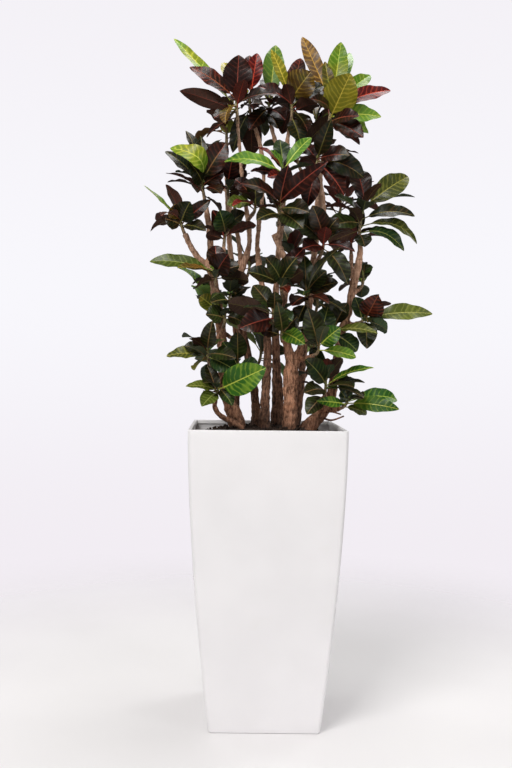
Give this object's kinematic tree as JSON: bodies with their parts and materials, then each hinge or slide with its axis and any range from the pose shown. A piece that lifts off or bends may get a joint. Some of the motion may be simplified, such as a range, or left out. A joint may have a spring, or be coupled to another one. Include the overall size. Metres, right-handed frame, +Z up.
{
  "type": "potted croton",
  "caption": "Bushy croton house plant with bare trunks and glossy, many-coloured veined leaves, growing in a tall tapered square planter that stands on the floor.",
  "frame": {"origin": "middle of the planter's flat underside, on the floor", "axes": "+Z up, -Y towards the viewer of the picture, +X to the viewer's right"},
  "size_m": [0.7713, 0.581, 1.8484],
  "materials": {
    "bark": "grey-brown bark with leaf scars",
    "leaf_bronze": "smooth leathery leaf, satin gloss above and matt below",
    "leaf_dark_green": "smooth leathery leaf, satin gloss above and matt below",
    "leaf_green": "smooth leathery leaf, satin gloss above and matt below",
    "leaf_maroon": "smooth leathery leaf, satin gloss above and matt below",
    "leaf_red": "smooth leathery leaf, satin gloss above and matt below",
    "leaf_yellow": "smooth leathery leaf, satin gloss above and matt below",
    "planter_white": "satin white moulded plastic",
    "soil": "dark crumbly potting mix"
  },
  "bodies": {
    "root": {"planter": "planter_white", "shoot_01": "leaf_maroon", "shoot_02": "leaf_red", "shoot_03": "leaf_maroon", "shoot_04": "leaf_maroon", "shoot_05": "leaf_yellow", "shoot_06": "leaf_maroon", "shoot_07": "leaf_maroon", "shoot_08": "leaf_green", "shoot_09": "leaf_maroon", "shoot_10": "leaf_red", "shoot_11": "leaf_maroon", "shoot_12": "leaf_maroon", "shoot_13": "leaf_maroon", "shoot_14": "leaf_dark_green", "shoot_15": "leaf_maroon", "shoot_16": "leaf_maroon", "shoot_17": "leaf_maroon", "shoot_18": "leaf_maroon", "shoot_19": "leaf_dark_green", "shoot_20": "leaf_dark_green", "shoot_21": "leaf_maroon", "shoot_22": "leaf_dark_green", "shoot_23": "leaf_dark_green", "shoot_24": "leaf_dark_green", "shoot_25": "leaf_green", "shoot_26": "leaf_dark_green", "shoot_27": "leaf_dark_green", "shoot_28": "leaf_green", "shoot_29": "leaf_dark_green", "shoot_30": "leaf_green", "shoot_31": "leaf_dark_green", "shoot_32": "leaf_maroon", "shoot_33": "leaf_bronze", "shoot_34": "leaf_maroon", "shoot_35": "leaf_dark_green", "shoot_36": "leaf_green", "shoot_37": "leaf_dark_green", "shoot_38": "leaf_dark_green", "shoot_39": "leaf_maroon", "shoot_40": "leaf_dark_green", "shoot_41": "leaf_dark_green", "shoot_42": "leaf_dark_green", "shoot_43": "leaf_red", "shoot_44": "leaf_maroon", "soil": "soil", "stem_back_left": "bark", "stem_back_right": "bark", "stem_dark": "bark", "stem_front": "bark", "stem_left": "bark", "stem_low": "bark", "stem_middle": "bark", "stem_right": "bark", "stem_tall": "bark"}
  },
  "joints": []
}
